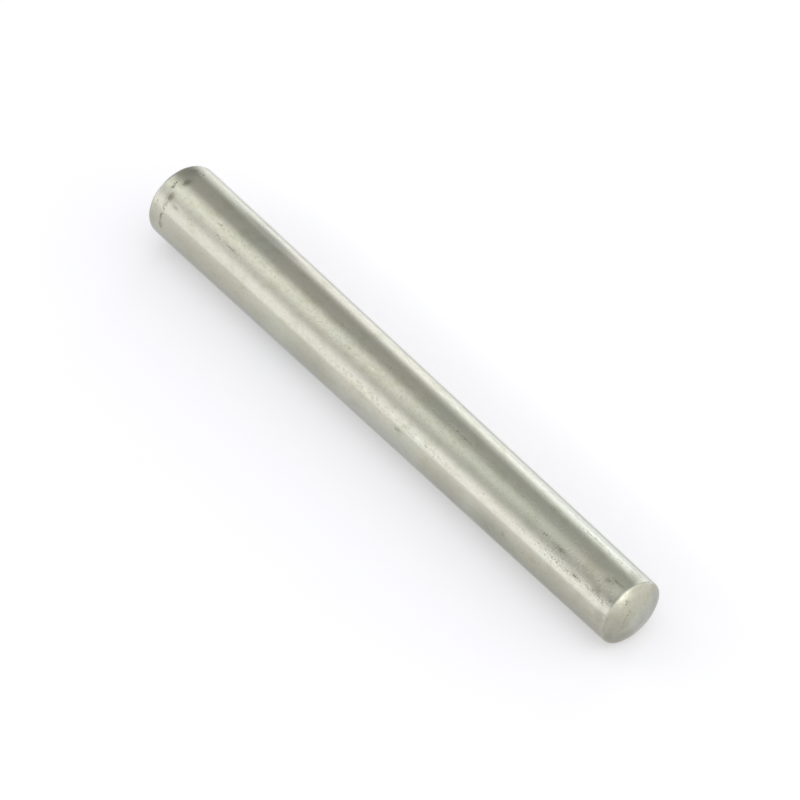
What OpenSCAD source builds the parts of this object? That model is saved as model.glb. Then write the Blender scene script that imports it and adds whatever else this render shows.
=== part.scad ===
// Taper pin: a ground steel cone with a dome on either end.
// The pin lies along X, large end first, and the origin is the centre of the large end's rim.

/* [Pin] */
// Diameter of the taper at the small end's rim, the size that the pin goes by
small_d = 8; // [5:0.5:12]
// Length from rim to rim, without the domes
pin_len = 80; // [40:1:120]
// Length over which the diameter grows by 1
taper_run = 50; // [30:1:80]

/* [Ends] */
// Height of the dome on either end
dome_h = 1.2; // [0.6:0.1:1.6]
// Radius that breaks the edge of the large end
large_edge_r = 0.5; // [0.2:0.05:0.8]
// Radius that breaks the edge of the small end
small_edge_r = 0.2; // [0.1:0.05:0.6]
// Length of the band behind the large end's edge that is eased below the taper
eased_len = 1.9; // [1.4:0.1:4]
// Depth of that easing at the large end's rim
eased_depth = 0.03; // [0.01:0.005:0.08]

/* [Hidden] */
$fn = 128;

// Warm grey of ground steel
steel = "#b6b5a9";

// Angle at which an edge round runs out into the flank and the dome
runout = 6;
// How far the shape that trims an edge reaches past its round, in edge radii
trim_reach = 3;

small_r = small_d / 2;
taper_r = small_r + pin_len / taper_run / 2;
large_r = taper_r - eased_depth;
eased_r = taper_r - eased_len / taper_run / 2;

// How far each flank leans away from the axis on its way from the rim
small_lean = atan((taper_r - small_r) / pin_len);
large_lean = atan((eased_r - large_r) / eased_len);

// Radius of a dome over a rim, from its chord and its height
function dome_r(rim_r) = dome_h / 2 + rim_r * rim_r / (2 * dome_h);

// The end sections have their rim on y = 0 and their dome above it.

// Half section of a dome
module dome(rim_r) {
    ball_r = dome_r(rim_r);
    intersection() {
        translate([0, dome_h - ball_r]) circle(ball_r);
        square([rim_r, ball_r]);
    }
}

// Section of what an edge round takes off the corner at [rim_r, 0]
module edge_trim(rim_r, edge_r, lean) {
    ball_r = dome_r(rim_r);
    ball = [0, dome_h - ball_r];
    // The round's centre lies this deep below both the flank and the dome.
    inset = edge_r * cos(runout);
    out = [cos(lean), sin(lean)];
    along = [-sin(lean), cos(lean)];
    // The line at that depth below the flank meets the circle at that depth below the dome.
    start = [rim_r, 0] - inset * out - ball;
    rise = sqrt(pow(start * along, 2) - start * start + pow(ball_r - inset, 2)) - start * along;
    centre = ball + start + rise * along;
    up = (centre - ball) / norm(centre - ball);
    reach = trim_reach * edge_r;
    difference() {
        polygon([centre, centre + reach * out, centre + reach * (out + up), centre + reach * up]);
        translate(centre) circle(edge_r);
    }
}

// Half section of the whole pin, with the axis along y
module half_section() {
    difference() {
        union() {
            polygon([[0, 0], [large_r, 0], [eased_r, eased_len], [small_r, pin_len], [0, pin_len]]);
            mirror([0, 1]) dome(large_r);
            translate([0, pin_len]) dome(small_r);
        }
        mirror([0, 1]) edge_trim(large_r, large_edge_r, large_lean);
        translate([0, pin_len]) edge_trim(small_r, small_edge_r, small_lean);
    }
}

// The pin, turned from its half section and laid along X
module taper_pin() {
    color(steel) rotate([0, 90, 0]) rotate_extrude() half_section();
}

taper_pin();
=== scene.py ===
"""Dresses the taper pin: a ground steel body with its shop wear and painted shade, on a pale floor in soft
studio light.
"""

import logging
import math
from dataclasses import dataclass
from enum import Enum

import bpy
import numpy as np
from mathutils import Matrix, Vector, noise

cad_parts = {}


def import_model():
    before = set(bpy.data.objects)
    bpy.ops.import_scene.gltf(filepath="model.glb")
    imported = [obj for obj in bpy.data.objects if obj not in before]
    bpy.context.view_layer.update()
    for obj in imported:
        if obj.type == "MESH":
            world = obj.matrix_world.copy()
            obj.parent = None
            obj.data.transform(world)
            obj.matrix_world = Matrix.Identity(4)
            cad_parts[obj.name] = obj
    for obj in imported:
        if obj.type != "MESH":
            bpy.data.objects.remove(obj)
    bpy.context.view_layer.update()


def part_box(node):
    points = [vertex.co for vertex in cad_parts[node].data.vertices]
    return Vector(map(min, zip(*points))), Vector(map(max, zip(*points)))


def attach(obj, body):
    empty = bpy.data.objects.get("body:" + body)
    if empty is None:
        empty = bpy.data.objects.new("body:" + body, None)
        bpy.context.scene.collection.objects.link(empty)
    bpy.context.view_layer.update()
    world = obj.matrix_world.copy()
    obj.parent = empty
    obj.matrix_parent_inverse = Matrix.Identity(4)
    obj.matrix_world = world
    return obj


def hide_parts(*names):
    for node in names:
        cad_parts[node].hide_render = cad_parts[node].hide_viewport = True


LOG = logging.getLogger("taper_pin")

MM = 0.001  # metres in a millimetre
PER_METRE = 1000.0  # millimetres in a metre
PIN_NODE = "taper_pin"
PIN_PIECE = "taper_pin_ground"
ROOT_BODY = "root"
BAKE_MAP = "OFBake"
PIN_AXIS = Vector((1.0, 0.0, 0.0))
HALF_TURN = 180.0  # degrees

# The sRGB curve: a straight line up to its knee, and a power beyond it
SRGB_KNEE = 0.04045
SRGB_SLOPE = 12.92
SRGB_OFFSET = 0.055
SRGB_POWER = 2.4
HEX_BASE = 16
HEX_TOP = 255
HEX_STARTS = (1, 3, 5)  # where red, green and blue begin in a hex colour

# Half size of a mark that covers its whole face, in millimetres or degrees
EVERYWHERE = 9000.0
# How fast a mark falls away at its edge, as a power of the squared distance
MARK_FALLOFF = 1.5

# Sockets of the colour form of Blender's mix node, which share their names with its other forms
MIX_FACTOR = 0
MIX_A = 6
MIX_B = 7
MIX_RESULT = 2

Socket = bpy.types.NodeSocket
Tree = bpy.types.NodeTree


def linear(code: str) -> tuple[float, float, float, float]:
    """Turns an sRGB hex colour to linear light.

    Args:
        code: The colour as six hex digits after a hash.

    Returns:
        Red, green, blue and an alpha of one.
    """
    made = []
    for start in HEX_STARTS:
        part = int(code[start : start + 2], HEX_BASE) / HEX_TOP
        if part <= SRGB_KNEE:
            made.append(part / SRGB_SLOPE)
        else:
            made.append(((part + SRGB_OFFSET) / (1 + SRGB_OFFSET)) ** SRGB_POWER)
    return (made[0], made[1], made[2], 1.0)


def add_node(tree: Tree, kind: str, inputs: dict | None = None, **settings: object) -> bpy.types.Node:
    """Adds a node with its settings, values and links.

    Args:
        tree: The node tree that it goes into.
        kind: Blender's name for the node's type.
        inputs: Socket name or number, with the value to set or the output to link.
        settings: The node's own properties.

    Returns:
        The new node.
    """
    node = tree.nodes.new(kind)
    for name, value in settings.items():
        setattr(node, name, value)
    for key, value in (inputs or {}).items():
        if isinstance(value, Socket):
            tree.links.new(value, node.inputs[key])
        else:
            node.inputs[key].default_value = value
    return node


class Zone(Enum):
    """The faces of the pin that a mark can lie on."""

    LARGE_DOME = 0
    FLANK = 1
    SMALL_DOME = 2


class Stain(Enum):
    """What a mark does to the steel, by the name of the vertex attribute that carries it."""

    SOIL = "soil"
    # Smudges and grime halos, and painted shade
    SMUDGE_AND_SHADE = "shade"
    # Burnished spots, and painted highlights
    BURNISH_AND_HIGHLIGHT = "burnish_and_highlight"
    WARM = "warm"
    COOL = "cool"
    RUST = "rust"
    TUMBLED = "tumbled"
    PITTED = "pitted"


class Blend(Enum):
    """How a colour goes onto what is under it, by Blender's name for that."""

    COVER = "MIX"
    DARKEN = "MULTIPLY"


@dataclass(frozen=True)
class Spot:
    """A soft oval on one face of the pin."""

    zone: Zone
    along: float  # millimetres from the large rim on the flank, and from the axis on a dome
    angle: float  # degrees from the top, towards the camera's left
    half_along: float  # millimetres
    half_angle: float  # degrees


@dataclass(frozen=True)
class Mark(Spot):
    """A stain, painted shade or painted highlight, of a given strength."""

    stain: Stain
    strength: float


@dataclass(frozen=True)
class Dent(Spot):
    """A shallow knock, by its depth in millimetres."""

    depth: float


@dataclass(frozen=True)
class Station:
    """One ring of the turned form: its place and radius in millimetres, its outward normal and its face."""

    x: float
    radius: float
    normal_x: float
    normal_r: float
    zone: Zone


@dataclass(frozen=True)
class PinEnd:
    """A domed end with a broken edge, in millimetres and radians, with its rim on rise 0."""

    rim_radius: float
    dome_height: float
    edge_radius: float
    lean: float

    @property
    def ball_radius(self) -> float:
        """Radius of the dome, from its chord and height."""
        return self.dome_height / 2 + self.rim_radius**2 / (2 * self.dome_height)

    def rings(self, edge_steps: int, dome_steps: int) -> list[tuple[float, float, float, bool]]:
        """Walks the end's section from the flank to just short of the apex.

        Args:
            edge_steps: Steps round the broken edge.
            dome_steps: Steps over the dome.

        Returns:
            Radius, rise, the normal's angle above the radius, and whether the ring is on the dome.
        """
        ball = np.array([0.0, self.dome_height - self.ball_radius])
        out = np.array([math.cos(self.lean), math.sin(self.lean)])
        along = np.array([-math.sin(self.lean), math.cos(self.lean)])
        start = np.array([self.rim_radius, 0.0]) - self.edge_radius * out - ball
        slide = start @ along
        depth = self.ball_radius - self.edge_radius
        centre = ball + start + (math.sqrt(slide**2 - start @ start + depth**2) - slide) * along
        up = centre - ball
        high = math.atan2(up[1], up[0])
        rings = []
        for step in range(edge_steps + 1):
            angle = self.lean + (high - self.lean) * step / edge_steps
            place = centre + self.edge_radius * np.array([math.cos(angle), math.sin(angle)])
            rings.append((place[0], place[1], angle, False))
        for step in range(1, dome_steps):
            angle = high + (math.pi / 2 - high) * step / dome_steps
            place = ball + self.ball_radius * np.array([math.cos(angle), math.sin(angle)])
            rings.append((place[0], place[1], angle, True))
        return rings


class WearAndPaintedLight:
    """The marks and knocks that the pin has picked up, and the painted shade and painted highlights laid
    over it.
    """

    MARKS: tuple[Mark, ...] = (
        # The ends and the eased band were tumbled but never ground
        Mark(Zone.LARGE_DOME, 0, 0, EVERYWHERE, EVERYWHERE, Stain.TUMBLED, 1.0),
        Mark(Zone.SMALL_DOME, 0, 0, EVERYWHERE, EVERYWHERE, Stain.TUMBLED, 1.0),
        Mark(Zone.LARGE_DOME, 0, 0, EVERYWHERE, EVERYWHERE, Stain.SMUDGE_AND_SHADE, 0.2),
        Mark(Zone.SMALL_DOME, 0, 0, EVERYWHERE, EVERYWHERE, Stain.SMUDGE_AND_SHADE, 0.2),
        Mark(Zone.FLANK, 0.7, 0, 1.3, EVERYWHERE, Stain.TUMBLED, 0.8),
        # Oily grime that gathered in the step behind the large end's eased band
        Mark(Zone.FLANK, 2.26, 8, 0.36, 6, Stain.SOIL, 1.2),
        Mark(Zone.FLANK, 1.4, 20, 0.24, 7, Stain.SOIL, 0.65),
        Mark(Zone.FLANK, 1.45, 26, 0.22, 3, Stain.SOIL, 0.9),
        Mark(Zone.FLANK, 2.2, 39, 0.34, 7, Stain.SOIL, 1.1),
        Mark(Zone.FLANK, 2.15, 53, 0.26, 8, Stain.SOIL, 0.75),
        Mark(Zone.FLANK, 2.2, 69, 0.26, 10, Stain.SOIL, 1.0),
        Mark(Zone.FLANK, 2.4, 83, 0.32, 6, Stain.SOIL, 1.0),
        Mark(Zone.FLANK, 0.9, 58, 0.25, 6, Stain.SOIL, 0.5),
        Mark(Zone.FLANK, 1.0, -8, 1.0, 18, Stain.SMUDGE_AND_SHADE, 0.5),
        Mark(Zone.FLANK, 2.2, 7, 0.55, 10, Stain.SMUDGE_AND_SHADE, 0.6),
        Mark(Zone.FLANK, 1.45, 26, 0.35, 6, Stain.SMUDGE_AND_SHADE, 0.4),
        Mark(Zone.FLANK, 2.1, 40, 0.55, 10, Stain.SMUDGE_AND_SHADE, 0.5),
        Mark(Zone.FLANK, 2.15, 56, 0.35, 9, Stain.SMUDGE_AND_SHADE, 0.35),
        Mark(Zone.FLANK, 2.25, 76, 0.42, 14, Stain.SMUDGE_AND_SHADE, 0.5),
        Mark(Zone.FLANK, 0.85, -10.5, 0.22, 4.5, Stain.SOIL, 0.72),
        Mark(Zone.FLANK, 1.2, -18, 0.22, 4, Stain.SOIL, 0.72),
        Mark(Zone.FLANK, 1.0, -14, 0.35, 9, Stain.SMUDGE_AND_SHADE, 0.75),
        Mark(Zone.FLANK, 2.2, -21.5, 0.4, 3, Stain.SOIL, 0.85),
        Mark(Zone.FLANK, 2.3, 140, 0.28, 16, Stain.SOIL, 0.85),
        Mark(Zone.FLANK, 2.2, 205, 0.32, 22, Stain.SOIL, 1.0),
        Mark(Zone.FLANK, 2.3, 265, 0.28, 14, Stain.SOIL, 0.8),
        # Pits lie thinly all over, and thickest in rows where the pin has rubbed
        Mark(Zone.FLANK, 40, 0, EVERYWHERE, EVERYWHERE, Stain.PITTED, 0.12),
        Mark(Zone.FLANK, 54, 7, 28, 4, Stain.PITTED, 0.8),
        Mark(Zone.FLANK, 44, 54, 16, 6, Stain.PITTED, 1.0),
        Mark(Zone.FLANK, 12, 38, 9, 6, Stain.PITTED, 0.6),
        Mark(Zone.FLANK, 14, 20, 8, 4, Stain.PITTED, 0.5),
        Mark(Zone.FLANK, 30, 24, 12, 3, Stain.PITTED, 0.4),
        Mark(Zone.FLANK, 73, 47, 8, 10, Stain.PITTED, 1.0),
        Mark(Zone.FLANK, 75, 30, 6, 5, Stain.PITTED, 0.6),
        Mark(Zone.FLANK, 74, -23, 7, 4, Stain.PITTED, 0.8),
        Mark(Zone.FLANK, 50, 200, 20, 12, Stain.PITTED, 0.7),
        Mark(Zone.FLANK, 20, 280, 12, 10, Stain.PITTED, 0.6),
        Mark(Zone.SMALL_DOME, 3.0, 20, 0.9, 20, Stain.PITTED, 0.8),
        Mark(Zone.LARGE_DOME, 2.5, 160, 1.2, 40, Stain.PITTED, 0.6),
        # Rubbed and soiled patches along the flank
        Mark(Zone.FLANK, 17.5, -25.5, 4.5, 2.2, Stain.SMUDGE_AND_SHADE, 0.8),
        Mark(Zone.FLANK, 3.7, 45, 0.5, 2.5, Stain.SMUDGE_AND_SHADE, 0.7),
        Mark(Zone.FLANK, 10.2, 20.5, 0.6, 2.4, Stain.SOIL, 0.52),
        Mark(Zone.FLANK, 11.0, 34.0, 0.5, 2.0, Stain.SOIL, 0.5),
        Mark(Zone.FLANK, 13.4, 17.0, 0.4, 1.6, Stain.SOIL, 0.5),
        Mark(Zone.FLANK, 13.5, 34.5, 1.0, 1.5, Stain.SMUDGE_AND_SHADE, 0.65),
        Mark(Zone.FLANK, 31.2, 5.8, 2.2, 1.4, Stain.SOIL, 0.58),
        Mark(Zone.FLANK, 39.4, 5.0, 1.2, 1.6, Stain.SOIL, 0.6),
        Mark(Zone.FLANK, 43.2, 4.4, 1.1, 1.6, Stain.SOIL, 0.64),
        Mark(Zone.FLANK, 43.7, 25.2, 0.4, 1.6, Stain.SOIL, 0.54),
        Mark(Zone.FLANK, 43.8, 42.5, 0.5, 2.0, Stain.SOIL, 0.54),
        Mark(Zone.FLANK, 45.7, 66.0, 0.9, 2.4, Stain.SOIL, 0.56),
        Mark(Zone.FLANK, 48.0, 28.4, 1.0, 1.3, Stain.SOIL, 0.55),
        Mark(Zone.FLANK, 49.9, 53.8, 0.4, 1.6, Stain.SOIL, 0.56),
        Mark(Zone.FLANK, 53.2, 6.8, 3.2, 1.8, Stain.SOIL, 0.66),
        Mark(Zone.FLANK, 64.0, 78.0, 0.5, 5, Stain.SOIL, 0.66),
        Mark(Zone.FLANK, 64.1, 78.0, 0.9, 7, Stain.SMUDGE_AND_SHADE, 0.5),
        Mark(Zone.FLANK, 68.4, 29.8, 0.7, 2.5, Stain.SOIL, 0.64),
        Mark(Zone.FLANK, 71.0, 31.8, 0.9, 3.0, Stain.SOIL, 0.64),
        Mark(Zone.FLANK, 70.8, 38.5, 1.7, 1.8, Stain.SOIL, 0.58),
        Mark(Zone.FLANK, 72.6, 48.5, 3.0, 2.6, Stain.SOIL, 0.54),
        Mark(Zone.FLANK, 74.3, 46.5, 0.7, 3.6, Stain.SOIL, 0.64),
        Mark(Zone.FLANK, 74.3, 27.0, 0.35, 2.0, Stain.SOIL, 0.56),
        Mark(Zone.FLANK, 75.1, 15.5, 0.35, 2.0, Stain.SOIL, 0.56),
        Mark(Zone.FLANK, 77.7, 18.5, 0.7, 4.6, Stain.SOIL, 0.64),
        Mark(Zone.FLANK, 77.6, 42.0, 0.6, 5.6, Stain.SOIL, 0.66),
        Mark(Zone.FLANK, 78.6, 10.2, 1.0, 1.8, Stain.SOIL, 0.74),
        Mark(Zone.FLANK, 78.6, 44.8, 0.6, 3.0, Stain.SOIL, 0.62),
        Mark(Zone.FLANK, 79.0, 50.1, 0.35, 2.0, Stain.SOIL, 0.6),
        Mark(Zone.FLANK, 79.4, 38.4, 0.4, 2.6, Stain.SOIL, 0.78),
        Mark(Zone.FLANK, 79.7, 36.8, 0.3, 2.4, Stain.SOIL, 0.92),
        Mark(Zone.FLANK, 71.1, 31.2, 1.2, 4.0, Stain.SMUDGE_AND_SHADE, 0.4),
        Mark(Zone.FLANK, 74.3, 46.5, 0.9, 4.5, Stain.SMUDGE_AND_SHADE, 0.3),
        Mark(Zone.FLANK, 77.7, 18.5, 0.9, 6.0, Stain.SMUDGE_AND_SHADE, 0.32),
        Mark(Zone.FLANK, 77.6, 42.0, 0.9, 7.0, Stain.SMUDGE_AND_SHADE, 0.36),
        Mark(Zone.FLANK, 78.7, 10.2, 0.9, 2.6, Stain.SMUDGE_AND_SHADE, 0.4),
        Mark(Zone.FLANK, 79.4, 40.5, 0.7, 6.0, Stain.SMUDGE_AND_SHADE, 0.34),
        Mark(Zone.FLANK, 72.6, -21.0, 2.8, 1.6, Stain.SOIL, 0.54),
        Mark(Zone.FLANK, 74.8, -19.3, 0.7, 1.5, Stain.SOIL, 0.58),
        Mark(Zone.FLANK, 76.5, -23.5, 0.6, 2.0, Stain.SOIL, 0.58),
        Mark(Zone.FLANK, 78.4, -24.0, 0.7, 3, Stain.SMUDGE_AND_SHADE, 0.7),
        Mark(Zone.FLANK, 78.0, 77.0, 1.0, 4, Stain.WARM, 0.6),
        Mark(Zone.FLANK, 39.4, 53.0, 0.5, 2.0, Stain.BURNISH_AND_HIGHLIGHT, 0.5),
        Mark(Zone.FLANK, 44.4, 53.5, 0.5, 2.0, Stain.BURNISH_AND_HIGHLIGHT, 0.5),
        Mark(Zone.FLANK, 48.6, 54.2, 1.3, 2.2, Stain.BURNISH_AND_HIGHLIGHT, 0.8),
        Mark(Zone.FLANK, 38.5, 24.5, 0.6, 2, Stain.BURNISH_AND_HIGHLIGHT, 0.7),
        # Painted highlight that lightens the lower bright band near the small end
        Mark(Zone.FLANK, 71.0, 55.0, 7.0, 9, Stain.BURNISH_AND_HIGHLIGHT, 0.4),
        Mark(Zone.FLANK, 10.0, 76.0, 4.0, 8, Stain.WARM, 0.3),
        Mark(Zone.FLANK, 14.8, 73.0, 2.6, 6, Stain.WARM, 0.3),
        Mark(Zone.FLANK, 37.5, 58.0, 1.5, 4, Stain.WARM, 0.35),
        Mark(Zone.FLANK, 51.0, 76.0, 2.5, 8, Stain.WARM, 0.3),
        Mark(Zone.FLANK, 70.0, 75.0, 4.0, 8, Stain.WARM, 0.3),
        # Painted shade that darkens the lower flank, where it mirrors the shadowed board, and the edges of
        # its mirrored bands;
        # painted highlights on its bright band; a first bloom of rust, cool tints, and smudges round the
        # back
        Mark(Zone.FLANK, 8.0, 88.0, 20.0, 32, Stain.SMUDGE_AND_SHADE, 0.34),
        Mark(Zone.FLANK, 40.0, 92.0, 24.0, 32, Stain.SMUDGE_AND_SHADE, 0.14),
        Mark(Zone.FLANK, 72.0, 95.0, 16.0, 32, Stain.SMUDGE_AND_SHADE, 0.52),
        Mark(Zone.FLANK, 30.6, 86.0, 5.3, 26, Stain.SMUDGE_AND_SHADE, 0.46),
        Mark(Zone.FLANK, 54.2, 91.0, 5.0, 26, Stain.SMUDGE_AND_SHADE, 0.5),
        Mark(Zone.FLANK, 62.3, 90.0, 4.6, 25, Stain.SMUDGE_AND_SHADE, 0.68),
        Mark(Zone.FLANK, 79.3, 71.0, 1.0, 16, Stain.SMUDGE_AND_SHADE, 0.58),
        Mark(Zone.FLANK, 15.2, -24.5, 5.6, 6, Stain.SMUDGE_AND_SHADE, 0.85),
        Mark(Zone.FLANK, 46.0, -16.5, 22.0, 3.5, Stain.SMUDGE_AND_SHADE, 0.18),
        Mark(Zone.FLANK, 73.0, -12.0, 6.0, 5, Stain.SMUDGE_AND_SHADE, 0.25),
        Mark(Zone.FLANK, 79.0, -22.0, 1.0, 10, Stain.SMUDGE_AND_SHADE, 0.62),
        Mark(Zone.FLANK, 55.0, 53.5, 10.5, 9, Stain.BURNISH_AND_HIGHLIGHT, 0.3),
        Mark(Zone.FLANK, 61.0, 57.0, 9.0, 18, Stain.RUST, 0.5),
        Mark(Zone.FLANK, 74.0, 62.0, 6.0, 14, Stain.RUST, 0.3),
        Mark(Zone.FLANK, 46.0, 92.0, 4.0, 9, Stain.COOL, 0.5),
        Mark(Zone.FLANK, 43.0, 90.0, 10.0, 13, Stain.COOL, 0.4),
        Mark(Zone.FLANK, 40.0, 112.0, 70.0, 18, Stain.COOL, 0.35),
        Mark(Zone.FLANK, 72.0, -36.0, 16.0, 15, Stain.COOL, 0.3),
        Mark(Zone.FLANK, 22.0, 150.0, 6.0, 12, Stain.SMUDGE_AND_SHADE, 0.5),
        Mark(Zone.FLANK, 58.0, 215.0, 3.0, 7, Stain.SOIL, 0.4),
        Mark(Zone.FLANK, 36.0, 255.0, 5.0, 5, Stain.SMUDGE_AND_SHADE, 0.6),
        Mark(Zone.FLANK, 69.0, 285.0, 2.0, 3, Stain.SOIL, 0.45),
        # The small end's dome, as it came out of the tumbling barrel, with painted shade and a painted
        # highlight laid over it
        Mark(Zone.SMALL_DOME, 3.2, 20, 0.12, 2, Stain.SOIL, 0.8),
        Mark(Zone.SMALL_DOME, 3.0, 18, 0.14, 2.5, Stain.SOIL, 0.85),
        Mark(Zone.SMALL_DOME, 2.93, 13.5, 0.12, 2, Stain.SOIL, 0.8),
        Mark(Zone.SMALL_DOME, 2.7, 15, 0.14, 2.5, Stain.SOIL, 0.8),
        Mark(Zone.SMALL_DOME, 3.0, 25, 0.12, 2.5, Stain.SOIL, 0.85),
        Mark(Zone.SMALL_DOME, 3.95, 26, 0.1, 2, Stain.SOIL, 0.7),
        Mark(Zone.SMALL_DOME, 1.98, 28, 0.1, 7, Stain.SOIL, 0.66),
        Mark(Zone.SMALL_DOME, 1.89, 42, 0.12, 8, Stain.SOIL, 0.7),
        Mark(Zone.SMALL_DOME, 1.88, 56, 0.1, 9, Stain.SOIL, 0.66),
        Mark(Zone.SMALL_DOME, 1.87, 72, 0.1, 10, Stain.SOIL, 0.66),
        Mark(Zone.SMALL_DOME, 1.9, 88, 0.1, 9, Stain.SOIL, 0.7),
        Mark(Zone.SMALL_DOME, 3.15, 90, 0.3, 6, Stain.SOIL, 0.5),
        Mark(Zone.SMALL_DOME, 2.9, 18, 0.4, 9, Stain.SMUDGE_AND_SHADE, 0.34),
        Mark(Zone.SMALL_DOME, 1.95, 8, 0.3, 10, Stain.SMUDGE_AND_SHADE, 0.34),
        Mark(Zone.SMALL_DOME, 1.9, 58, 0.2, 40, Stain.SMUDGE_AND_SHADE, 0.42),
        Mark(Zone.SMALL_DOME, 2.4, 40, 0.9, 26, Stain.WARM, 0.6),
        Mark(Zone.SMALL_DOME, 2.9, 68, 0.9, 22, Stain.WARM, 0.45),
        Mark(Zone.SMALL_DOME, 2.9, 10, 1.6, 75, Stain.WARM, 0.35),
        Mark(Zone.SMALL_DOME, 3.4, 50, 0.9, 36, Stain.WARM, 0.55),
        # Painted highlight along the upper rim of the dome
        Mark(Zone.SMALL_DOME, 3.55, 28, 0.55, 22, Stain.BURNISH_AND_HIGHLIGHT, 0.35),
        Mark(Zone.SMALL_DOME, 0.9, -130, 1.1, 90, Stain.COOL, 0.6),
        Mark(Zone.SMALL_DOME, 3.3, -98, 0.9, 45, Stain.COOL, 0.6),
        # Painted shade on the lower parts of the dome and along its lower rim, where it mirrors the
        # shadowed board under the pin's end
        Mark(Zone.SMALL_DOME, 2.6, 92, 1.8, 50, Stain.SMUDGE_AND_SHADE, 0.64),
        Mark(Zone.SMALL_DOME, 2.8, 138, 1.8, 42, Stain.SMUDGE_AND_SHADE, 0.72),
        Mark(Zone.SMALL_DOME, 3.0, -105, 1.4, 45, Stain.SMUDGE_AND_SHADE, 0.6),
        Mark(Zone.SMALL_DOME, 3.7, 72, 0.4, 14, Stain.SMUDGE_AND_SHADE, 0.64),
        Mark(Zone.SMALL_DOME, 3.85, 87, 0.35, 14, Stain.SMUDGE_AND_SHADE, 0.8),
        Mark(Zone.SMALL_DOME, 3.45, 110, 0.75, 26, Stain.SMUDGE_AND_SHADE, 0.88),
        Mark(Zone.LARGE_DOME, 2.4, 40, 0.6, 25, Stain.WARM, 0.7),
        Mark(Zone.LARGE_DOME, 1.9, 200, 0.9, 30, Stain.COOL, 0.6),
        Mark(Zone.LARGE_DOME, 3.0, 290, 0.4, 12, Stain.SOIL, 0.5),
        Mark(Zone.LARGE_DOME, 3.6, 130, 0.25, 24, Stain.SOIL, 0.45),
    )
    DENTS: tuple[Dent, ...] = (
        # Knocks on the small rim, on the large rim, along the flank and on the domes
        Dent(Zone.FLANK, 79.95, 97, 0.35, 4.5, 0.04),
        Dent(Zone.FLANK, 79.95, 63, 0.3, 3.0, 0.025),
        Dent(Zone.FLANK, 79.95, -34, 0.3, 3.5, 0.015),
        Dent(Zone.FLANK, 79.95, 168, 0.4, 5.0, 0.05),
        Dent(Zone.FLANK, 79.95, 248, 0.3, 4.0, 0.035),
        Dent(Zone.FLANK, 0.1, 35, 0.4, 4.0, 0.03),
        Dent(Zone.FLANK, 0.1, 120, 0.4, 5.0, 0.04),
        Dent(Zone.FLANK, 0.1, 228, 0.4, 4.0, 0.035),
        Dent(Zone.FLANK, 0.1, 301, 0.4, 3.5, 0.03),
        Dent(Zone.FLANK, 3.7, 45, 0.6, 4.0, 0.012),
        Dent(Zone.FLANK, 48.3, 56, 0.9, 3.5, 0.008),
        Dent(Zone.FLANK, 27.0, 190, 0.8, 5.0, 0.015),
        Dent(Zone.FLANK, 61.0, 262, 0.9, 4.0, 0.012),
        Dent(Zone.FLANK, 14.0, 315, 0.7, 5.0, 0.012),
        Dent(Zone.SMALL_DOME, 2.8, 17, 0.3, 6, 0.012),
        Dent(Zone.SMALL_DOME, 2.0, 215, 0.4, 14, 0.015),
        Dent(Zone.LARGE_DOME, 2.6, 75, 0.4, 10, 0.015),
        Dent(Zone.LARGE_DOME, 1.5, 250, 0.4, 18, 0.012),
    )


@dataclass(frozen=True)
class MapLayout:
    """The square map that the finish is baked to: two rows, each a strip of flank and a dome's disc."""

    strip_width: float = 0.70  # all sizes are shares of the map's side
    strip_height: float = 0.47
    margin: float = 0.01
    row_height: float = 0.5
    disc_radius: float = 0.12
    disc_column: float = 0.86

    def disc_middle(self, row: int) -> tuple[float, float]:
        """Middle of the disc in a row, by the row's number from the bottom."""
        return (self.disc_column, self.row_height * row + self.row_height / 2)


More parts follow.
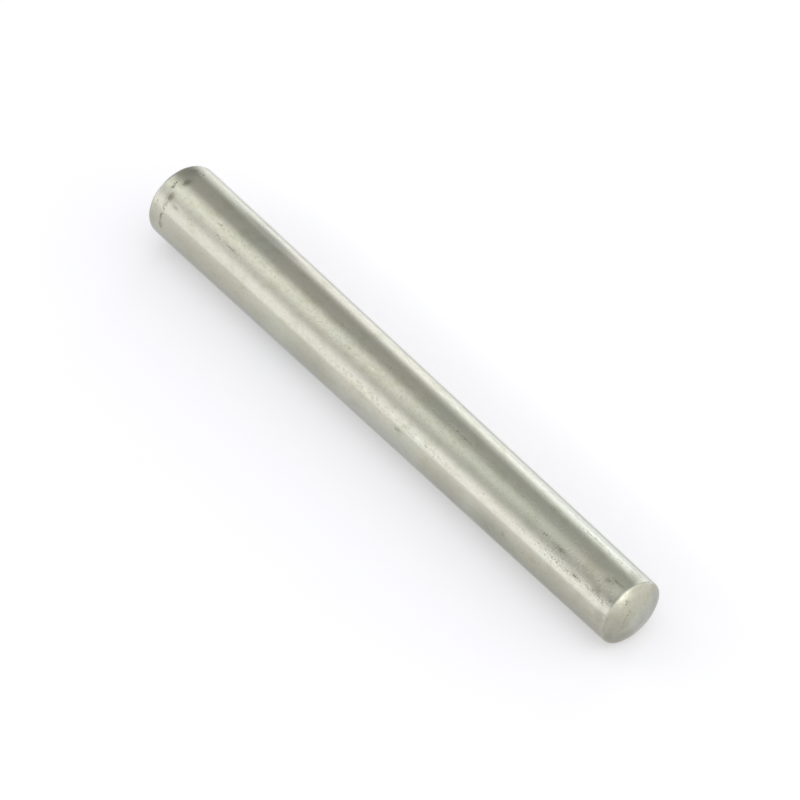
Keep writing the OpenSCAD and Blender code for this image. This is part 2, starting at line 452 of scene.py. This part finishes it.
@dataclass
class PinBody:
    """The pin's turned and ground form, in millimetres, with the axis along X and the large rim at 0."""

    length: float
    eased_radius: float
    taper_run: float = 50.0
    dome_height: float = 1.2
    large_edge: float = 0.5
    small_edge: float = 0.2
    eased_length: float = 1.9
    eased_drop: float = 0.011
    segments: int = 256
    edge_steps: int = 8
    large_dome_steps: int = 22
    small_dome_steps: int = 52
    eased_steps: int = 12
    flank_step: float = 0.29
    # Waves that the grinding leaves: long along the axis and short around it
    wave_along: float = 16.0
    wave_around: float = 3.0
    wave_depth: float = 0.003
    ripple_along: float = 3.0
    ripple_around: float = 1.2
    ripple_depth: float = 0.0005
    still_radius: float = 1.0  # round an apex, where the waves fade out
    layout: MapLayout = MapLayout()

    @classmethod
    def from_frame(cls, node: str) -> "PinBody":
        """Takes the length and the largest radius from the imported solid.

        Args:
            node: The name of the solid's node.

        Returns:
            A body that stays inside that solid's box.
        """
        low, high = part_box(node)
        length = high.x / MM - cls.dome_height
        return cls(length=length, eased_radius=min(high.y, high.z, -low.y, -low.z) / MM)

    @property
    def small_radius(self) -> float:
        """Radius of the taper at the small rim."""
        return self.eased_radius - (self.length - self.eased_length) / self.taper_run / 2

    @property
    def middle(self) -> Vector:
        """Middle of the axis, in metres."""
        return Vector((self.length / 2 * MM, 0.0, 0.0))

    def stations(self) -> list[Station]:
        """Lists the rings of the form, from the large dome to the small one.

        Returns:
            The rings, without the two apexes.
        """
        large = PinEnd(
            self.eased_radius - self.eased_drop,
            self.dome_height,
            self.large_edge,
            math.atan(self.eased_drop / self.eased_length),
        )
        small = PinEnd(
            self.small_radius, self.dome_height, self.small_edge, math.atan(1 / self.taper_run / 2)
        )
        made = []
        for radius, rise, angle, domed in reversed(large.rings(self.edge_steps, self.large_dome_steps)):
            zone = Zone.LARGE_DOME if domed else Zone.FLANK
            made.append(Station(-rise, radius, -math.sin(angle), math.cos(angle), zone))
        last = made[-1]
        tail = []
        for radius, rise, angle, domed in small.rings(self.edge_steps, self.small_dome_steps):
            zone = Zone.SMALL_DOME if domed else Zone.FLANK
            tail.append(Station(self.length + rise, radius, math.sin(angle), math.cos(angle), zone))
        corner = Station(self.eased_length, self.eased_radius, 0.0, 1.0, Zone.FLANK)
        flank_steps = math.ceil((tail[0].x - corner.x) / self.flank_step)
        for begin, end, steps in ((last, corner, self.eased_steps), (corner, tail[0], flank_steps)):
            for step in range(1, steps + (end is corner)):
                share = step / steps
                x = begin.x + (end.x - begin.x) * share
                radius = begin.radius + (end.radius - begin.radius) * share
                made.append(Station(x, radius, 0.0, 1.0, Zone.FLANK))
        return made + tail

    def build(self) -> bpy.types.Object:
        """Turns the mesh, wears it, paints its marks and lays out its map.

        Returns:
            The piece, riding on the root body in place of the solid.
        """
        stations = self.stations()
        angles = np.arange(self.segments) * (2 * math.pi / self.segments)
        places = self.worn_places(stations, angles)
        apexes = np.array([[-self.dome_height, 0, 0], [self.length + self.dome_height, 0, 0]])
        mesh = bpy.data.meshes.new(PIN_PIECE)
        points = np.vstack([places.reshape(-1, 3), apexes]) * MM
        mesh.from_pydata(points.tolist(), [], self.faces(len(stations)))
        mesh.shade_smooth()
        for stain in Stain:
            rings = self.painted(stations, angles, stain)
            values = np.append(rings.ravel(), [rings[0].mean(), rings[-1].mean()])
            layer = mesh.attributes.new(stain.value, "FLOAT", "POINT")
            layer.data.foreach_set("value", values.astype(np.float32))
        self.lay_out(mesh, stations)
        piece = bpy.data.objects.new(PIN_PIECE, mesh)
        bpy.context.scene.collection.objects.link(piece)
        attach(piece, ROOT_BODY)
        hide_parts(PIN_NODE)
        return piece

    def faces(self, rings: int) -> list[tuple[int, ...]]:
        """Joins the rings with quads and closes both domes with fans.

        Args:
            rings: Number of rings.

        Returns:
            Vertex numbers of each face, turned outwards.
        """
        around = self.segments
        quads = [
            (ring * around + i, ring * around + j, (ring + 1) * around + j, (ring + 1) * around + i)
            for ring in range(rings - 1)
            for i, j in ((i, (i + 1) % around) for i in range(around))
        ]
        apex, last = rings * around, (rings - 1) * around
        fans = [(apex, (i + 1) % around, i) for i in range(around)]
        fans += [(apex + 1, last + i, last + (i + 1) % around) for i in range(around)]
        return quads + fans

    def cover(self, stations: list[Station], angles: np.ndarray, spot: Spot) -> np.ndarray:
        """Tells how fully a spot covers each vertex.

        Args:
            stations: The rings.
            angles: Angle of each vertex of a ring, in radians.
            spot: The spot.

        Returns:
            A soft cover from 0 to 1 for each ring and angle.
        """
        on_flank = spot.zone is Zone.FLANK
        along = np.array([s.x if on_flank else s.radius for s in stations])
        here = np.array([s.zone is spot.zone for s in stations])
        far = (along - spot.along) / spot.half_along
        turn = (np.degrees(angles) - spot.angle + HALF_TURN) % (2 * HALF_TURN) - HALF_TURN
        distance = far[:, None] ** 2 + (turn[None, :] / spot.half_angle) ** 2
        return np.exp(-(distance**MARK_FALLOFF)) * here[:, None]

    def painted(self, stations: list[Station], angles: np.ndarray, stain: Stain) -> np.ndarray:
        """Finds how strongly the marks of one stain cover each vertex.

        Args:
            stations: The rings.
            angles: Angle of each vertex of a ring, in radians.
            stain: The stain.

        Returns:
            The strongest cover for each ring and angle.
        """
        value = np.zeros((len(stations), len(angles)))
        for mark in WearAndPaintedLight.MARKS:
            if mark.stain is stain:
                value = np.maximum(value, mark.strength * self.cover(stations, angles, mark))
        return value

    def worn_places(self, stations: list[Station], angles: np.ndarray) -> np.ndarray:
        """Places the vertices, with the grinding's waves and the knocks, which only ever go inwards.

        Args:
            stations: The rings.
            angles: Angle of each vertex of a ring, in radians.

        Returns:
            Places in millimetres, for each ring and angle.
        """
        depth = np.zeros((len(stations), len(angles)))
        for row, station in enumerate(stations):
            for column, angle in enumerate(angles):
                y, z = -station.radius * math.sin(angle), station.radius * math.cos(angle)
                wave = Vector((station.x / self.wave_along, y / self.wave_around, z / self.wave_around))
                ripple = Vector(
                    (station.x / self.ripple_along, y / self.ripple_around, z / self.ripple_around)
                )
                depth[row, column] = (
                    self.wave_depth * (1 + noise.noise(wave)) / 2
                    + self.ripple_depth * (1 + noise.noise(ripple)) / 2
                )
        for dent in WearAndPaintedLight.DENTS:
            depth += dent.depth * self.cover(stations, angles, dent)
        x = np.array([s.x for s in stations])[:, None]
        radius = np.array([s.radius for s in stations])[:, None]
        normal_x = np.array([s.normal_x for s in stations])[:, None]
        normal_r = np.array([s.normal_r for s in stations])[:, None]
        # The apexes stay put, so the waves fade out towards them.
        depth *= np.minimum(1.0, radius / self.still_radius)
        x = x - depth * normal_x
        radius = radius - depth * normal_r
        return np.stack([x, -radius * np.sin(angles), radius * np.cos(angles)], axis=-1)

    def lay_out(self, mesh: bpy.types.Mesh, stations: list[Station]) -> None:
        """Unrolls the flank into two strips and lays the domes beside them as discs.

        Args:
            mesh: The finished mesh, with its quads before its fans.
            stations: The rings.
        """
        layout = self.layout
        walk = np.zeros(len(stations))
        for i in range(1, len(stations)):
            step = (stations[i].x - stations[i - 1].x, stations[i].radius - stations[i - 1].radius)
            walk[i] = walk[i - 1] + math.hypot(*step)
        flank = [i for i, s in enumerate(stations) if s.zone is Zone.FLANK]
        middle = (flank[0] + flank[-1]) // 2
        places = []
        for ring in range(len(stations) - 1):
            for i in range(self.segments):
                for row, turn in ((ring, i), (ring, i + 1), (ring + 1, i + 1), (ring + 1, i)):
                    share = turn / self.segments
                    if ring < flank[0] or ring >= flank[-1]:
                        places.append(self.on_disc(stations[row], share))
                        continue
                    upper = ring >= middle
                    first, end = (middle, flank[-1]) if upper else (flank[0], middle)
                    gone = (walk[row] - walk[first]) / (walk[end] - walk[first])
                    u = layout.margin + layout.strip_width * gone
                    v = layout.margin + layout.strip_height * share + layout.row_height * upper
                    places.append((u, v))
        for disc, station in enumerate((stations[0], stations[-1])):
            centre = layout.disc_middle(disc)
            for i in range(self.segments):
                near = self.on_disc(station, i / self.segments)
                after = self.on_disc(station, (i + 1) / self.segments)
                places += [centre, near, after] if disc else [centre, after, near]
        layer = mesh.uv_layers.new(name=BAKE_MAP)
        layer.uv.foreach_set("vector", np.array(places, np.float32).ravel())

    def on_disc(self, station: Station, share: float) -> tuple[float, float]:
        """Finds the place on the map of a point on a dome.

        Args:
            station: The point's ring.
            share: Its share of the turn.

        Returns:
            The two coordinates on the map.
        """
        reach = self.layout.disc_radius * station.radius / self.eased_radius
        angle = 2 * math.pi * share
        column, height = self.layout.disc_middle(int(station.x > self.length / 2))
        return (column + reach * math.cos(angle), height + reach * math.sin(angle))


@dataclass(frozen=True)
class Pattern:
    """A cloudy mask whose grain has a real size in millimetres."""

    size: float
    low: float  # noise value where the mask starts
    high: float  # noise value where it is full
    stretch: float = 1.0  # how much longer the grain is along the pin
    detail: float = 2.0

    def mask(self, tree: Tree, place: Socket) -> Socket:
        """Adds the pattern to a tree.

        Args:
            tree: The material's node tree.
            place: Object coordinates in metres.

        Returns:
            The mask's output, from 0 to 1.
        """
        across = PER_METRE / self.size
        scale = (across / self.stretch, across, across)
        sized = add_node(tree, "ShaderNodeMapping", {"Vector": place, "Scale": scale})
        cloud = add_node(
            tree,
            "ShaderNodeTexNoise",
            {"Vector": sized.outputs["Vector"], "Scale": 1.0, "Detail": self.detail},
        )
        ranged = add_node(
            tree,
            "ShaderNodeMapRange",
            {"Value": cloud.outputs["Fac"], "From Min": self.low, "From Max": self.high},
            interpolation_type="SMOOTHSTEP",
        )
        return ranged.outputs["Result"]


@dataclass(frozen=True)
class GroundSteel:
    """Plain carbon steel, centreless ground and then tumbled to take the burrs off.

    To the eye it is a warm grey metal with long soft reflections, faintly clouded where oil has
    dried on it, with fine grain from the tumbling and small dark pits that hold grime. Painted
    shade and painted highlights, where the marks give them, darken and lighten it.
    """

    name: str = "carbon_steel_ground_and_tumbled"
    warm: str = "#c5c3b5"
    cool: str = "#c0c2b4"
    stained_warm: str = "#c3baa3"
    stained_cool: str = "#b2b6b6"
    rusting: str = "#c7bdb2"  # the first faint bloom of rust
    # Colour of smudges and of painted shade
    smudged_and_shaded: str = "#96958a"
    # Colour of burnished spots and of painted highlights
    burnished_and_highlit: str = "#d6d5c8"
    soil: str = "#68634f"
    grain_shade: str = "#fbfbf8"
    blotch_shade: str = "#f6f6f1"
    limb: str = "#ededed"  # how much of the light is left at the silhouette
    roughness: float = 0.15
    soil_roughness: float = 0.3
    grain_roughness: float = 0.04
    tumbled_roughness: float = 0.04
    soil_metal: float = -0.5
    pit_soil: float = 0.14
    soil_cover: float = 0.5
    soil_most: float = 0.64  # cover of the thickest grime
    # Clouds of dried oil
    clouds: Pattern = Pattern(size=7.0, low=0.36, high=0.64, stretch=1.8, detail=3.0)
    # Tumbling leaves grain of about 0.1 mm, drawn coarser here so that it shows
    grain: Pattern = Pattern(size=0.42, low=0.3, high=0.7, stretch=1.6)
    # Thin spots in the oil film
    blotches: Pattern = Pattern(size=1.4, low=0.48, high=0.72, stretch=1.6)
    # Shallow ragged pits, in the places that the marks give
    pits: Pattern = Pattern(size=0.3, low=0.53, high=0.66, stretch=1.3)
    # Grime breaks up into specks; the noise is left as it is, and the marks decide where it shows
    ragged: Pattern = Pattern(size=0.18, low=0.0, high=1.0, stretch=1.3, detail=3.0)
    speck_low: float = 0.69
    speck_high: float = 0.93
    # Grinding lines run round the pin about 0.05 mm apart, drawn coarser here so that they show
    lines: Pattern = Pattern(size=3.0, low=0.2, high=0.8, stretch=0.1)
    grain_bump: float = 0.0006  # millimetres, as are the next two
    pit_bump: float = -0.013
    line_bump: float = 0.0003

    def build(self) -> bpy.types.Material:
        """Makes the material.

        Returns:
            The material, which reads the pin's painted marks.
        """
        material = bpy.data.materials.new(self.name)
        material.use_nodes = True
        tree = material.node_tree
        tree.nodes.clear()
        place = add_node(tree, "ShaderNodeTexCoord").outputs["Object"]
        marks = {
            stain: add_node(tree, "ShaderNodeAttribute", attribute_name=stain.value).outputs["Fac"]
            for stain in Stain
        }
        grain = self.grain.mask(tree, place)
        pits = add_node(
            tree,
            "ShaderNodeMath",
            {0: self.pits.mask(tree, place), 1: marks[Stain.PITTED]},
            operation="MULTIPLY",
        ).outputs["Value"]
        ragged = self.ragged.mask(tree, place)
        lines = self.lines.mask(tree, place)
        covered = add_node(
            tree,
            "ShaderNodeMath",
            {0: marks[Stain.SOIL], 1: self.soil_cover, 2: ragged},
            operation="MULTIPLY_ADD",
        ).outputs["Value"]
        soiled = add_node(
            tree,
            "ShaderNodeMapRange",
            {
                "Value": covered,
                "From Min": self.speck_low,
                "From Max": self.speck_high,
                "To Max": self.soil_most,
            },
            interpolation_type="SMOOTHSTEP",
        ).outputs["Result"]
        pitted = add_node(
            tree, "ShaderNodeMath", {0: pits, 1: self.pit_soil}, operation="MULTIPLY"
        ).outputs["Value"]
        dirt = add_node(
            tree, "ShaderNodeMath", {0: soiled, 1: pitted}, operation="MAXIMUM", use_clamp=True
        ).outputs["Value"]
        layers = (
            (self.clouds.mask(tree, place), self.warm, Blend.COVER),
            (marks[Stain.WARM], self.stained_warm, Blend.COVER),
            (marks[Stain.COOL], self.stained_cool, Blend.COVER),
            (marks[Stain.RUST], self.rusting, Blend.COVER),
            # Burnished spots with painted highlights, then smudges with painted shade
            (marks[Stain.BURNISH_AND_HIGHLIGHT], self.burnished_and_highlit, Blend.COVER),
            (marks[Stain.SMUDGE_AND_SHADE], self.smudged_and_shaded, Blend.COVER),
            (grain, self.grain_shade, Blend.DARKEN),
            (self.blotches.mask(tree, place), self.blotch_shade, Blend.DARKEN),
            (dirt, self.soil, Blend.COVER),
        )
        colour = linear(self.cool)
        for mask, shade, blend in layers:
            colour = add_node(
                tree,
                "ShaderNodeMix",
                {MIX_FACTOR: mask, MIX_A: colour, MIX_B: linear(shade)},
                data_type="RGBA",
                blend_type=blend.value,
            ).outputs[MIX_RESULT]
        rough = add_node(
            tree,
            "ShaderNodeMath",
            {0: grain, 1: self.grain_roughness, 2: self.roughness},
            operation="MULTIPLY_ADD",
        ).outputs["Value"]
        for mask, gain in ((dirt, self.soil_roughness), (marks[Stain.TUMBLED], self.tumbled_roughness)):
            rough = add_node(
                tree, "ShaderNodeMath", {0: mask, 1: gain, 2: rough}, operation="MULTIPLY_ADD"
            ).outputs["Value"]
        metal = add_node(
            tree, "ShaderNodeMath", {0: dirt, 1: self.soil_metal, 2: 1.0}, operation="MULTIPLY_ADD"
        ).outputs["Value"]
        normal = None
        for height, depth in ((lines, self.line_bump), (grain, self.grain_bump), (pits, self.pit_bump)):
            fed = {"Height": height, "Distance": depth * MM, "Strength": 1.0}
            if normal is not None:
                fed["Normal"] = normal
            normal = add_node(tree, "ShaderNodeBump", fed).outputs["Normal"]
        surface = add_node(
            tree,
            "ShaderNodeBsdfPrincipled",
            {
                "Base Color": colour,
                "Roughness": rough,
                "Metallic": metal,
                "Specular Tint": linear(self.limb),
                "Normal": normal,
            },
        )
        add_node(tree, "ShaderNodeOutputMaterial", {"Surface": surface.outputs["BSDF"]})
        return material

    def dress(self, piece: bpy.types.Object) -> None:
        """Gives a piece this finish."""
        piece.data.materials.append(self.build())


@dataclass(frozen=True)
class PaleFloor:
    """A board that the pin lies on, tilted by half the taper to meet the pin's underside."""

    radius: float = 3.0  # metres
    corners: int = 96
    drop: float = 4.8  # millimetres below the axis at the large rim
    rise_per_length: float = 0.01
    clearance: float = 0.02  # millimetres

    def build(self) -> bpy.types.Object:
        """Makes the floor.

        Returns:
            The floor.
        """
        mesh = bpy.data.meshes.new("pale_floor")
        points = []
        for corner in range(self.corners):
            angle = 2 * math.pi * corner / self.corners
            x, y = self.radius * math.cos(angle), self.radius * math.sin(angle)
            points.append((x, y, -(self.drop + self.clearance) * MM + self.rise_per_length * x))
        mesh.from_pydata(points, [], [tuple(range(self.corners))])
        floor = bpy.data.objects.new("pale_floor", mesh)
        bpy.context.scene.collection.objects.link(floor)
        return floor


@dataclass(frozen=True)
class CoatedCard:
    """White card with a clay coating.

    To the eye it is an even white that keeps a soft shadow, with a dull sheen at low angles.
    """

    name: str = "card_coated_white"
    board: str = "#e5e5e8"
    glow: str = "#fdfdff"
    roughness: float = 0.6
    # Lift of what the camera and reflections see, so that the open board is white and the shadow stays
    lift: float = 0.25

    def build(self) -> bpy.types.Material:
        """Makes the material.

        Returns:
            The material, for a floor without marks.
        """
        material = bpy.data.materials.new(self.name)
        material.use_nodes = True
        tree = material.node_tree
        tree.nodes.clear()
        path = add_node(tree, "ShaderNodeLightPath")
        seen = path.outputs["Is Camera Ray"]
        for ray in ("Is Glossy Ray", "Is Transmission Ray"):
            seen = add_node(
                tree, "ShaderNodeMath", {0: seen, 1: path.outputs[ray]}, operation="MAXIMUM"
            ).outputs["Value"]
        lifted = add_node(
            tree, "ShaderNodeMath", {0: seen, 1: self.lift}, operation="MULTIPLY"
        ).outputs["Value"]
        surface = add_node(
            tree,
            "ShaderNodeBsdfPrincipled",
            {
                "Base Color": linear(self.board),
                "Roughness": self.roughness,
                "Emission Color": linear(self.glow),
                "Emission Strength": lifted,
            },
        )
        add_node(tree, "ShaderNodeOutputMaterial", {"Surface": surface.outputs["BSDF"]})
        return material

    def dress(self, floor: bpy.types.Object) -> None:
        """Gives the floor this finish."""
        floor.data.materials.append(self.build())


@dataclass(frozen=True)
class Panel:
    """A soft patch of light on the tent."""

    direction: tuple[float, float, float]
    wide: float  # reach along the pin, as a share of the sky's radius, as is the next
    high: float
    edge: float  # share of the reach over which the patch fades in
    radiance: float
    colour: str = "#ffffff"

    def rotation(self) -> tuple[float, float, float]:
        """Finds the turn that brings Z to the patch, with the patch's height lying across the pin.

        Returns:
            The turn round X, Y and Z, in radians.
        """
        ahead = Vector(self.direction).normalized()
        high = ahead.cross(PIN_AXIS).normalized()
        wide = high.cross(ahead)
        return tuple(Matrix((wide, high, ahead)).transposed().to_euler())


@dataclass(frozen=True)
class LightTent:
    """A white tent, dimmest at middle height, with soft patches where its lamps stand."""

    # Height of the direction above the horizon, as its sine, and the tent's radiance there
    levels: tuple[tuple[float, float], ...] = (
        (0.0, 0.53),
        (0.19, 0.47),
        (0.42, 0.455),
        (0.62, 0.485),
        (1.0, 0.59),
    )
    panels: tuple[Panel, ...] = (
        # A wall of light low on the left, and a box overhead at the back left
        Panel((-0.645, -0.752, 0.136), 2.4, 0.716, 0.848, 1.01, "#f7f7ff"),
        Panel((-0.631, -0.21, 0.747), 0.28, 0.493, 0.876, 0.89),
        # The main light at the back right, and a small one beyond the pin's small end
        Panel((-0.448, 0.881, -0.154), 0.309, 1.184, 0.814, 1.524, "#f8f9ff"),
        Panel((0.974, 0.172, 0.15), 0.55, 0.24, 1.0, 1.7),
        # Broad fills on the right and on the small end's side, and a lamp at the top
        Panel((0.5, 0.85, 0.25), 0.85, 0.7, 0.8, 0.45),
        Panel((0.85, 0.2, 0.5), 1.35, 1.35, 0.8, 0.55),
        Panel((0.1, 0.0, 0.995), 0.6, 0.6, 0.8, 0.6),
    )
    depth: float = 1.9  # reach of a patch towards the pin, short of the far side of the tent

    def build(self) -> bpy.types.World:
        """Makes the world and gives it to the scene.

        Returns:
            The world.
        """
        world = bpy.data.worlds.new("light_tent")
        world.use_nodes = True
        tree = world.node_tree
        tree.nodes.clear()
        ray = add_node(tree, "ShaderNodeTexCoord").outputs["Generated"]
        height = add_node(tree, "ShaderNodeSeparateXYZ", {"Vector": ray}).outputs["Z"]
        light = add_node(tree, "ShaderNodeFloatCurve", {"Value": height})
        top = max(value for _, value in self.levels)
        curve = light.mapping.curves[0]
        # New points go in between the two ends, and then all take their places in order.
        while len(curve.points) < len(self.levels):
            curve.points.new(*self.levels[1])
        for point, (sine, value) in zip(curve.points, self.levels):
            point.location = (sine, value / top)
            point.handle_type = "VECTOR"
        light.mapping.update()
        total = add_node(
            tree, "ShaderNodeMath", {0: light.outputs["Value"], 1: top}, operation="MULTIPLY"
        ).outputs["Value"]
        for panel in self.panels:
            local = add_node(
                tree,
                "ShaderNodeMapping",
                {
                    "Vector": ray,
                    "Location": Vector(panel.direction).normalized(),
                    "Rotation": panel.rotation(),
                    "Scale": (panel.wide, panel.high, self.depth),
                },
                vector_type="TEXTURE",
            )
            patch = add_node(
                tree,
                "ShaderNodeTexGradient",
                {"Vector": local.outputs["Vector"]},
                gradient_type="SPHERICAL",
            )
            soft = add_node(
                tree,
                "ShaderNodeMapRange",
                {"Value": patch.outputs["Fac"], "From Max": panel.edge, "To Max": panel.radiance},
                interpolation_type="SMOOTHSTEP",
            )
            total = add_node(
                tree,
                "ShaderNodeVectorMath",
                {0: soft.outputs["Result"], 1: linear(panel.colour)[:3], 2: total},
                operation="MULTIPLY_ADD",
            ).outputs["Vector"]
        shade = add_node(tree, "ShaderNodeBackground", {"Color": total, "Strength": 1.0})
        add_node(tree, "ShaderNodeOutputWorld", {"Surface": shade.outputs["Background"]})
        bpy.context.scene.world = world
        return world


@dataclass(frozen=True)
class BoardLamp:
    """A lamp with a grid that faces down at the board beside the pin and stays off the pin itself."""

    name: str
    along: tuple[float, float]  # millimetres along the pin that it spans
    across: tuple[float, float]  # millimetres across the pin, away from the camera's left
    gain: float  # what it adds to the board's brightness, where 1 is white
    colour: str = "#f6f8ff"
    height: float = 120.0  # millimetres above the axis
    spread: float = 16.0  # degrees

    def build(self) -> bpy.types.Object:
        """Hangs the lamp over the board.

        Returns:
            The lamp.
        """
        wide, deep = (MM * (high - low) for low, high in (self.along, self.across))
        data = bpy.data.lights.new(self.name, "AREA")
        data.shape = "RECTANGLE"
        data.size = wide
        data.size_y = deep
        data.spread = math.radians(self.spread)
        data.color = linear(self.colour)[:3]
        data.energy = self.gain * math.pi * wide * deep
        lamp = bpy.data.objects.new(self.name, data)
        lamp.location = Vector((sum(self.along) / 2, sum(self.across) / 2, self.height)) * MM
        lamp.visible_camera = False
        bpy.context.scene.collection.objects.link(lamp)
        return lamp


BOARD_LAMPS: tuple[BoardLamp, ...] = (
    BoardLamp(name="lamp_behind", along=(-70.0, 100.0), across=(26.0, 116.0), gain=1.0),
    BoardLamp(name="lamp_beyond", along=(130.0, 330.0), across=(-25.0, 60.0), gain=0.34),
)


@dataclass(frozen=True)
class ViewPoint:
    """The photograph's viewpoint: degrees round and above the pin, and millimetres from its middle."""

    azimuth: float = 51.983
    elevation: float = 46.061
    distance: float = 397.5
    aim_right: float = 0.677
    aim_up: float = -0.556
    lens: float = 162.54
    sensor: float = 36.0
    nearest: float = 0.01  # metres
    farthest: float = 50.0

    def build(self, middle: Vector) -> bpy.types.Object:
        """Sets up the camera.

        Args:
            middle: Middle of the pin, in metres.

        Returns:
            The scene's camera.
        """
        turn, tilt = math.radians(self.azimuth), math.radians(self.elevation)
        right = Vector((math.cos(turn), math.sin(turn), 0.0))
        look = Vector(
            (-math.sin(turn) * math.cos(tilt), math.cos(turn) * math.cos(tilt), -math.sin(tilt))
        )
        up = right.cross(look)
        place = middle + MM * (self.aim_right * right + self.aim_up * up - self.distance * look)
        data = bpy.data.cameras.new("photo_view")
        data.sensor_fit = "HORIZONTAL"
        data.sensor_width = self.sensor
        data.lens = self.lens
        data.clip_start = self.nearest
        data.clip_end = self.farthest
        camera = bpy.data.objects.new("photo_view", data)
        camera.matrix_world = Matrix.Translation(place) @ Matrix((right, up, -look)).transposed().to_4x4()
        bpy.context.scene.collection.objects.link(camera)
        bpy.context.scene.camera = camera
        return camera


def main() -> None:
    """Loads the frame, builds the view, the light, the floor and the pin, and logs the pin's faces."""
    logging.basicConfig(level=logging.INFO, format="%(name)s: %(message)s")
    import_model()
    bpy.context.scene.view_settings.view_transform = "Standard"
    body = PinBody.from_frame(PIN_NODE)
    ViewPoint().build(body.middle)
    LightTent().build()
    CoatedCard().dress(PaleFloor().build())
    for lamp in BOARD_LAMPS:
        lamp.build()
    piece = body.build()
    GroundSteel().dress(piece)
    LOG.info("%s: %d faces on body %s", piece.name, len(piece.data.polygons), ROOT_BODY)


if __name__ == "__main__":
    main()
